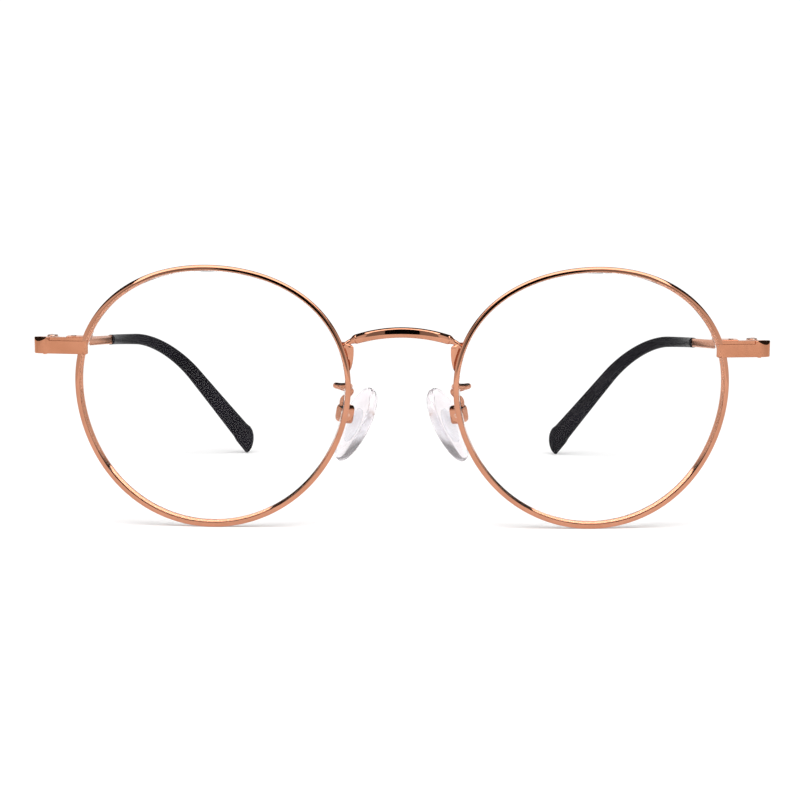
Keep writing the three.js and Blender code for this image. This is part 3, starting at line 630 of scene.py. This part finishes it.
bridge = {
    "halfSpan": 8.6, "middle": 12.8, "ends": 11.35, "bow": 1.5, "height": 2.0, "depth": 1.6,
    "squareness": 2.15, "sides": 44, "endSlimming": 0.08,
    "facet": 0.7, "facetTilt": 12, "facetPress": 0.85, "facetLift": 0.12,
    # the neck: its share of the bar, where it starts and how soon it is reached, and its bends
    # as (across from the rim, height) and then (across from the bar's end, height)
    "neck": 0.5, "neckFrom": 0.1, "neckLength": 1.1,
    "rimBends": ((0.5, 9.3), (-0.3, 10.05)), "barBends": ((1.45, 10.7), (0.75, 11.05)),
}
noseSide = onLens(outlineAt(angleAtHeight(10, "inner"), rim["wall"]), midDepth)


def bridgeSection(scale, flatAt):
    # an oval bar with one flat stamped along its front, tilted up a little
    tilt = math.radians(bridge["facetTilt"])
    facing = Vector((math.cos(tilt), math.sin(tilt)))
    points = []
    for point in barSection(bridge["depth"], bridge["height"], bridge["squareness"],
                            bridge["sides"]):
        point = Vector(point)
        point -= facing * max(0.0, point.dot(facing) - flatAt) * bridge["facetPress"]
        points.append(point * scale)
    return points


def makeBridge():
    half = bridge["halfSpan"]

    def arch(x):
        share = 1 - (x / half) ** 2
        return (x, noseSide.y - bridge["bow"] * share,
                bridge["ends"] + (bridge["middle"] - bridge["ends"]) * share)

    side = [(noseSide.x + across, noseSide.y, height) for across, height in bridge["rimBends"]]
    side += [(half + across, noseSide.y, height) for across, height in bridge["barBends"]]
    side.append(arch(half))
    middle = [arch(half * share) for share in (0.75, 0.5, 0.25, 0, -0.25, -0.5, -0.75)]
    points = [(-x, y, z) for x, y, z in side] + [(-x, y, z) for x, y, z in middle]
    points += list(reversed(side))
    rings = []
    for at, along in smoothPath(points, 8):
        share = min(1.0, abs(at.x) / half)
        slim = eased((abs(at.x) - half - bridge["neckFrom"]) / bridge["neckLength"])
        scale = between(1 - bridge["endSlimming"] * share ** 2, bridge["neck"], slim)
        flatAt = bridge["facet"] + bridge["facetLift"] * share ** 2
        rings.append(ringAt(at, along, bridgeSection(scale, flatAt)))
    piece = drawnPiece("bridgeBar", rings)
    smoothOver(piece, 50)
    piece.data.transform(frontPlace)
    settle(piece, roseGold, "front", "bridge")


makeBridge()

foot = {
    "top": 10.75, "bottom": 5.3, "width": 2.15, "thickness": 1.5, "ridge": 0.35, "ridgeAt": 0.42,
    "shoulder": 0.2, "shoulderStart": 0.25, "tipWidth": 0.12, "taper": 0.45, "intoRim": 0.45,
    "setBack": 0.15, "edge": 0.07,
    "rings": (0, 0.03, 0.07, 0.12, 0.16, 0.2, 0.32, 0.45, 0.6, 0.75, 0.9, 1),
}


def makeBridgeFeet():
    # a tapered leg with a ridge down its front and back, rounded over where the neck joins it
    rings = []
    for share in foot["rings"]:
        height = between(foot["top"], foot["bottom"], share)
        side = onLens(outlineAt(angleAtHeight(height, "inner"), rim["wall"]), midDepth)
        shoulder = between(foot["shoulderStart"], 1,
                           math.sin(min(1, share / foot["shoulder"]) * math.pi / 2))
        width = foot["width"] * shoulder * (1 - share) ** 0.8 + foot["tipWidth"]
        thick = foot["thickness"] * (1 - foot["taper"] * share) / 2 * (0.7 + 0.3 * shoulder)
        ridge = foot["ridge"] * (1 - 0.5 * share)
        left, right = side.x - width, side.x + foot["intoRim"]
        centre = left + (side.x - left) * foot["ridgeAt"]
        middleY = side.y + foot["setBack"]
        rings.append([Vector(p) for p in (
            (left, middleY - thick + ridge, height), (centre, middleY - thick, height),
            (side.x - 0.02, middleY - thick + ridge, height),
            (right, middleY - thick + ridge, height),
            (right, middleY + thick, height), (centre, middleY + thick, height),
            (left, middleY + thick - ridge, height))])
    piece = drawnPiece("bridgeBrace", rings)
    softenEdges(piece, foot["edge"], angle=20)
    squareOff(piece)
    bothSides(piece, roseGold, "front", "bridge_foot")


makeBridgeFeet()
print("bridge drawn")


endPiece = {
    "height": 3.15, "thickness": 1.5, "aboveCentre": 9.4, "sweepBack": 7, "outside": 70.5,
    "bendRadius": 2.2, "bendSteps": 12, "edge": 0.2, "brokenEdge": 0.04,
    "recess": 0.3, "recessHeight": 0.65, "recessEndsBefore": 0.6,
    "overRim": 1.15, "lap": 0.34, "butt": 8.14, "downhill": 6.3,
    "facetSlope": 42, "facetAround": 36, "facetDrop": 0.85,
    # cutters, in mm
    "recessCutter": 2.0, "facetCutter": (8.0, 4.0, 5.0), "facetCutterUp": 1.5,
}
templeAngle = angleAtHeight(endPiece["aboveCentre"], "outer")
templeSide = onLens(outlineAt(templeAngle, rim["wall"]), midDepth)
legCentre = endPiece["outside"] - endPiece["thickness"] / 2
frontLine = templeSide.y - rim["depth"] / 2 - endPiece["lap"] + endPiece["thickness"] / 2


def makeEndPieces():
    start = Vector((templeSide.x - 1, frontLine, endPiece["aboveCentre"]))
    back = (legCentre - start.x) * math.tan(math.radians(endPiece["sweepBack"]))
    corner = Vector((legCentre, frontLine + back, endPiece["aboveCentre"]))
    first = (corner - start).normalized()
    slope = math.radians(endPiece["downhill"])
    second = Vector((0, math.cos(slope), -math.sin(slope)))
    bend = first.angle(second)
    setback = endPiece["bendRadius"] * math.tan(bend / 2)
    across = (second - first * second.dot(first)).normalized()
    arcStart = corner - first * setback
    section = roundedSection(endPiece["thickness"], endPiece["height"], endPiece["edge"], 7)
    rings = [ringAt(start - first * (endPiece["overRim"] - 1), first, section)]
    for i in range(endPiece["bendSteps"] + 1):
        turn = bend * i / endPiece["bendSteps"]
        at = (arcStart + first * endPiece["bendRadius"] * math.sin(turn)
              + across * endPiece["bendRadius"] * (1 - math.cos(turn)))
        rings.append(ringAt(at, first * math.cos(turn) + across * math.sin(turn), section))
    last = rings[-1]
    rings.append([p + second * ((endPiece["butt"] - p.y) / second.y) for p in last])
    piece = drawnPiece("endPiece", rings)
    # the long recess along the top front edge
    outwards = first.cross(Vector((0, 0, 1))).normalized()
    recessEnd = arcStart - first * endPiece["recessEndsBefore"]
    length = (recessEnd - start).length + 3
    cutter = endPiece["recessCutter"]
    middle = (recessEnd - first * length / 2
              + outwards * (endPiece["thickness"] / 2 - endPiece["recess"] + cutter / 2)
              + Vector((0, 0, endPiece["height"] / 2 - endPiece["recessHeight"] + cutter / 2)))
    turned = Matrix.Rotation(math.atan2(first.y, first.x), 4, 'Z')
    cutWith(piece, cubeAt(Matrix.Translation(middle) @ turned, (length, cutter, cutter)))
    # the sloped facet over the outer corner, touching the bend part of the way round
    turn = math.radians(endPiece["facetAround"])
    facing = first * math.sin(turn) - across * math.cos(turn)
    lowest = (arcStart + across * endPiece["bendRadius"]
              + facing * (endPiece["bendRadius"] + endPiece["thickness"] / 2)
              + Vector((0, 0, endPiece["height"] / 2 - endPiece["facetDrop"])))
    facetSize = endPiece["facetCutter"]
    facetPlace = (Matrix.Translation(lowest)
                  @ Matrix.Rotation(math.atan2(facing.y, facing.x) + math.radians(90), 4, 'Z')
                  @ Matrix.Rotation(math.radians(-endPiece["facetSlope"]), 4, 'X')
                  @ Matrix.Translation((0, -facetSize[1] / 2, endPiece["facetCutterUp"])))
    cutWith(piece, cubeAt(facetPlace, facetSize))
    softenEdges(piece, endPiece["brokenEdge"], angle=50)
    squareOff(piece, 20)
    bothSides(piece, roseGoldSatin, "front", "end_piece")


makeEndPieces()


closing = {
    "upper": (9.05, 11.1), "lower": (7.9, 8.75), "edge": 0.16, "intoRim": 0.55, "length": 3.5,
    "depth": 2.25, "gap": 0.02, "screwAcross": 1.6, "screwBack": 1.15, "screwSunk": 0.08,
    "screwTop": 11.2,
}
blockFront = frontLine + endPiece["thickness"] / 2


def makeClosingBlocks():
    for part in ("upper", "lower"):
        low, high = closing[part]
        size = (closing["length"], closing["depth"], high - low)
        middle = Vector((templeSide.x - closing["intoRim"] + size[0] / 2,
                         blockFront + size[1] / 2 + closing["gap"], (low + high) / 2))
        block = cubeAt(Matrix.Translation(middle), size)
        block.name = block.data.name = "closingBlock" + part.capitalize()
        softenEdges(block, closing["edge"], angle=50, segments=3)
        squareOff(block, 40)
        bothSides(block, roseGold, "front", "closing_block_" + part)


makeClosingBlocks()
fromCad("hingeFrontLeaf", "hinge_front_leaf", 0.08, roseGold, "front")
fromCad("hingeTempleLeaf", "hinge_temple_leaf", 0.08, roseGold, "temple")
print("end pieces and hinges drawn")


def slottedScrew(name, headEnd, tail, radius, headRadius, headHeight, slot):
    # turned along +z at first: the shank, then its head extruded and domed, then the slot
    length = (headEnd - tail).length
    deselectAll()
    bpy.ops.mesh.primitive_cylinder_add(vertices=40, radius=radius, depth=length - headHeight,
                                        location=(0, 0, -(length + headHeight) / 2))
    piece = bpy.context.object
    piece.name = piece.data.name = name
    bpy.ops.object.transform_apply(location=True)
    bpy.ops.object.mode_set(mode='EDIT')
    bpy.ops.mesh.select_mode(type='FACE')
    bpy.ops.mesh.select_all(action='DESELECT')
    mesh = bmesh.from_edit_mesh(piece.data)
    for face in mesh.faces:
        face.select_set(face.normal.z > 0.9)      # the end that carries the head
    bmesh.update_edit_mesh(piece.data)
    wider = headRadius / radius
    bpy.ops.mesh.extrude_region()
    bpy.ops.transform.resize(value=(wider, wider, 1))
    bpy.ops.mesh.extrude_region_move(TRANSFORM_OT_translate={"value": (0, 0, headHeight)})
    bpy.ops.mesh.bevel(offset=min(headHeight * 0.45, 0.16), segments=3, affect='EDGES')
    bpy.ops.object.mode_set(mode='OBJECT')
    cutWith(piece, cubeAt(Matrix.Translation((0, 0, 0)), (headRadius * 4, slot, headHeight)))
    softenEdges(piece, 0.03, angle=50, segments=1)
    smoothOver(piece)
    turn = (headEnd - tail).to_track_quat('Z', 'Y').to_matrix().to_4x4()
    piece.data.transform(Matrix.Translation(headEnd) @ turn)
    return piece


screws = {
    "closing": {"radius": 0.5, "headRadius": 0.95, "headHeight": 0.5, "slot": 0.26},
    "hinge": {"radius": 0.58, "headRadius": 1.05, "headHeight": 0.33, "slot": 0.28},
    "pad": {"radius": 0.42, "headRadius": 0.75, "headHeight": 0.35, "slot": 0.2},
}
hingeAbove, hingeBelow = 1.55, 1.6      # from the hinge's middle to the head's seat and the tail


def makeScrews():
    across, back = templeSide.x + closing["screwAcross"], blockFront + closing["screwBack"]
    head = closing["lower"][0] - closing["screwSunk"]
    screw = slottedScrew("closingScrew", Vector((across, back, head)),
                         Vector((across, back, closing["screwTop"])), **screws["closing"])
    bothSides(screw, screwMetal, "front", "closing_screw")
    top = hingePoint + Vector((0, 0, hingeAbove + screws["hinge"]["headHeight"]))
    hinge = slottedScrew("hingeScrew", top, hingePoint - Vector((0, 0, hingeBelow)),
                         **screws["hinge"])
    bothSides(hinge, screwMetal, "front", "hinge_screw")


makeScrews()
print("screws turned")


temple = {
    "length": 145.0, "inwards": 2.2, "downhill": 6.3, "shoulderFrom": 2.0, "shoulder": 15.0,
    "startHeight": 3.05, "startThickness": 1.5, "startSquareness": 7.0,
    "height": 1.95, "thickness": 1.1, "squareness": 3.6, "sides": 40, "edge": 0.08, "butt": 8.26,
    # bends: from, to, degrees
    "headBow": (78.0, 116.0, 48.5), "earBend": (94.0, 118.0, 42.0), "step": 0.5,
    "rings": [0.2, 1, 2, 3.5, 5, 6.5, 8, 9.5, 11, 12.5, 14, 15, 20, 30, 40, 50, 60, 70],
}
tip = {
    "length": 69.5, "startHeight": 2.3, "endHeight": 5.2, "startThickness": 2.0,
    "endThickness": 2.7, "roundEnd": 4.2, "trim": 1.0, "intoTip": 1.5,
    "squareness": 2.3, "sides": 36,
    "mouth": [(0.0, 0.8), (0.06, 0.9), (0.2, 0.97), (0.5, 1.0)],     # distance, share of the size
    "roundTurns": (0, 15, 30, 43, 55, 66, 76, 83, 88), "leastHeight": 0.1,
}
tipStart = temple["length"] - tip["length"]


def templeHeading(distance):
    def share(bend):
        return min(1.0, max(0.0, (distance - bend[0]) / (bend[1] - bend[0])))
    inwards = math.radians(temple["inwards"] + temple["headBow"][2] * share(temple["headBow"]))
    down = math.radians(temple["downhill"] + temple["earBend"][2] * share(temple["earBend"]))
    return Vector((-math.sin(inwards) * math.cos(down), math.cos(inwards) * math.cos(down),
                   -math.sin(down)))


def templeLine():
    at = Vector((legCentre, hingePoint.y, hingePoint.z))
    step = temple["step"]
    stations = []
    for i in range(int(temple["length"] / step) + 1):
        stations.append(at.copy())
        at = at + templeHeading((i + 0.5) * step) * step
    return stations


templeStations = templeLine()


def onTemple(distance):
    # the place and the direction this far along the temple
    steps = distance / temple["step"]
    index = min(len(templeStations) - 2, int(steps))
    at = templeStations[index].lerp(templeStations[index + 1], steps - index)
    return at, templeHeading(distance)


def makeTemples():
    start = temple["shoulderFrom"]
    rings = []
    for distance in (*temple["rings"], tipStart, tipStart + tip["intoTip"]):
        slim = eased((distance - start) / (temple["shoulder"] - start))
        section = barSection(
            between(temple["startThickness"], temple["thickness"], slim),
            between(temple["startHeight"], temple["height"], slim),
            between(temple["startSquareness"], temple["squareness"], slim), temple["sides"])
        rings.append(ringAt(*onTemple(distance), section))
    along = templeHeading(0)
    rings[0] = [p + along * ((temple["butt"] - p.y) / along.y) for p in rings[0]]
    piece = drawnPiece("templeArm", rings)
    softenEdges(piece, temple["edge"], angle=60)
    squareOff(piece, 35)
    bothSides(piece, roseGoldSatin, "temple", "temple")


def makeTips():
    end = temple["length"] - tip["trim"]
    roundFrom = end - tip["roundEnd"]
    rings = []

    def addRing(distance, thickness, height, lift):
        section = barSection(thickness, height, tip["squareness"], tip["sides"])
        rings.append(ringAt(*onTemple(distance), section, lift))

    along = tip["mouth"] + [(d, 1.0) for d in range(2, int(roundFrom - tipStart))]
    for distance, size in along:
        share = distance / tip["length"]
        addRing(tipStart + distance,
                between(tip["startThickness"], tip["endThickness"], share) * size,
                between(tip["startHeight"], tip["endHeight"], share ** 2) * size, 0.0)
    # the end is rounded upwards from its lower edge
    for turn in tip["roundTurns"]:
        distance = roundFrom + tip["roundEnd"] * math.sin(math.radians(turn))
        height = tip["endHeight"] * max(math.cos(math.radians(turn)), tip["leastHeight"])
        thickness = tip["endThickness"] * (1 - (turn / 92) ** 6)
        addRing(distance, thickness, height, -(tip["endHeight"] - height) / 2)
    piece = drawnPiece("templeTip", rings)
    smoothOver(piece, 50)
    bothSides(piece, acetate, "temple", "temple_tip")


makeTemples()
makeTips()
print("temples and tips drawn")


padBox = {
    "at": (11.2, 7.4, -4.3), "lean": -9, "turn": -30,
    "height": 3.6, "width": 3.0, "depth": 2.7, "wall": 0.45, "round": 0.9, "brokenEdge": 0.08,
    # the rounded closed end: mm in from it, and share of the full size
    "closedEnd": ((0, 0.5), (0.06, 0.68), (0.2, 0.84), (0.45, 0.95), (0.8, 1.0)),
}
pad = {
    "length": 15.5, "width": 8.4, "back": -2.315, "middle": -1.0, "narrowing": 0.1, "tilt": -18,
    "sides": 56,
    # from the back face to the nose: share of the outline, and mm towards the nose
    "profile": ((0.3, 0.02), (0.62, 0.0), (0.8, 0.06), (0.9, 0.2), (0.965, 0.45), (0.995, 0.8),
                (1.0, 1.1), (0.99, 1.4), (0.955, 1.72), (0.89, 2.0), (0.79, 2.2), (0.64, 2.33),
                (0.42, 2.38), (0.16, 2.4)),
}
padWire = {
    "radius": 0.6, "rimHeight": 2.1, "loopReach": 2.5, "loopBelow": 0.2, "sides": 20,
    # the loop: share of its reach, mm behind the rim, mm above the loop's height
    "loop": ((0.6, 2.7, 0.0), (1.0, 4.1, -0.1), (0.6, 5.5, -0.6)),
    "turnDown": (-0.3, 6.4, -1.5), "aboveBox": 1.3,
}
boxPlace = (Matrix.Translation(padBox["at"])
            @ Matrix.Rotation(math.radians(padBox["lean"]), 4, 'Y')
            @ Matrix.Rotation(math.radians(padBox["turn"]), 4, 'Z'))
padPlace = boxPlace @ Matrix.Rotation(math.radians(pad["tilt"]), 4, 'Y')


def makePadBoxes():
    # a cup with a rounded closed end, open towards the pad
    deep, wall, broken = padBox["depth"] / 2, padBox["wall"], padBox["brokenEdge"]

    def ring(x, share=1.0, inset=0.0):
        section = roundedSection(
            padBox["width"] * share - 2 * inset, padBox["height"] * share - 2 * inset,
            max(0.25, padBox["round"] * share - inset), 7)
        return [boxPlace @ Vector((x, across, up)) for across, up in section]

    rings = [ring(deep - inwards, share) for inwards, share in padBox["closedEnd"]]
    rings += [ring(broken - deep), ring(-deep, inset=broken), ring(-deep, inset=wall - 0.06),
              ring(broken - deep, inset=wall), ring(deep - wall, inset=wall)]
    piece = drawnPiece("padBox", rings)
    smoothOver(piece, 40)
    bothSides(piece, roseGold, "front", "pad_box")


def makePadScrews():
    side = padBox["width"] / 2
    screw = slottedScrew("padScrew", Vector((0, side + 0.05 + screws["pad"]["headHeight"], 0)),
                         Vector((0, -side - 0.1, 0)), **screws["pad"])
    screw.data.transform(boxPlace)
    bothSides(screw, screwMetal, "front", "pad_screw")


def makePadWires():
    # from the rim's back, round an outward loop, and down into the top of the box
    root = onLens(outlineAt(angleAtHeight(padWire["rimHeight"], "inner"), rim["wall"] / 2),
                  midDepth + rim["depth"] / 2 - 0.28)
    loop = padWire["rimHeight"] - padWire["loopBelow"]
    reach = padWire["loopReach"]
    boxTop = boxPlace @ Vector((padBox["depth"] / 4, 0, padBox["height"] / 2 - 0.3))
    boxUp = boxPlace.to_3x3() @ Vector((0, 0, 1))
    points = [root + Vector((0, -0.5, 0)),
              root + Vector((-0.1, 1.4, padWire["rimHeight"] - root.z))]
    points += [(root.x + reach * share, root.y + back, loop + rise)
               for share, back, rise in padWire["loop"]]
    across, back, rise = padWire["turnDown"]
    points += [(root.x + across, root.y + back, loop + rise),
               boxTop + boxUp * padWire["aboveBox"], boxTop]
    line = smoothPath(points, 8)
    turns = [2 * math.pi * i / padWire["sides"] for i in range(padWire["sides"])]
    rings = []
    sideways = Vector((0, 0, 1)).cross(line[0][1]).normalized()
    for at, along in line:
        sideways = (sideways - along * sideways.dot(along)).normalized()   # kept from twisting
        up = along.cross(sideways)
        rings.append([at + (sideways * math.cos(turn) + up * math.sin(turn)) * padWire["radius"]
                      for turn in turns])
    piece = drawnPiece("padWire", rings)
    smoothOver(piece, 50)
    bothSides(piece, roseGold, "front", "pad_wire")


def makeNosePads():
    # an oval, a little wider at its top
    rings = []
    for share, towardsNose in pad["profile"]:
        ring = []
        for i in range(pad["sides"]):
            turn = 2 * math.pi * i / pad["sides"]
            narrowing = 1 + pad["narrowing"] * math.sin(turn)
            across = share * pad["width"] / 2 * math.cos(turn) * narrowing
            up = pad["middle"] + share * pad["length"] / 2 * math.sin(turn)
            ring.append(padPlace @ Vector((pad["back"] - towardsNose, across, up)))
        rings.append(ring)
    piece = drawnPiece("nosePad", rings)
    smoothOver(piece, 60)
    bothSides(piece, silicone, "pad", "nose_pad")


makePadBoxes()
makePadScrews()
makePadWires()
makeNosePads()
fromCad("padInsert", "pad_insert", 0.05, insertPlastic, "pad")
print("nose pads drawn")
